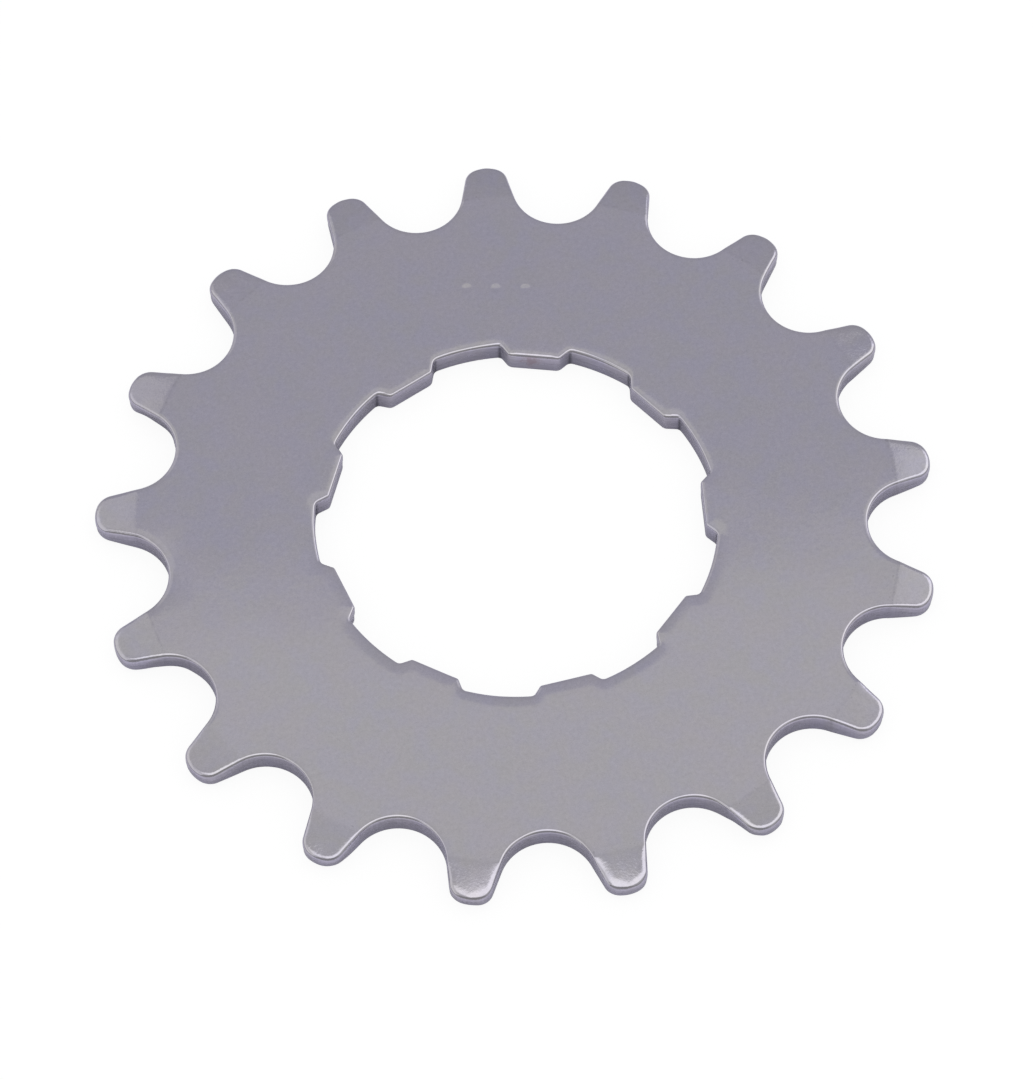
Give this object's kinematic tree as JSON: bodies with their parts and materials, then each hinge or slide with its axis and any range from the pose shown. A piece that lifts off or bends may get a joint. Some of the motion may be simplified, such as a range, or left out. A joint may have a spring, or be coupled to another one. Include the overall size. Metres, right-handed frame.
{
  "type": "bicycle cassette sprocket",
  "caption": "Flat toothed steel sprocket with tapered tooth tips and a tabbed spline bore, driven by a bicycle chain and seated on a freehub body.",
  "frame": {"origin": "on the bore axis, at mid-thickness of the plate", "axes": "+Z along the bore axis, out of the face shown upwards; one tooth and one spline tab are centred on -Y; X completes the plane of the plate"},
  "size_m": [0.073, 0.0727, 0.0024],
  "materials": {
    "plated_steel": "satin nickel-plated stamped steel"
  },
  "bodies": {
    "root": {"sprocket": "plated_steel"}
  },
  "joints": []
}
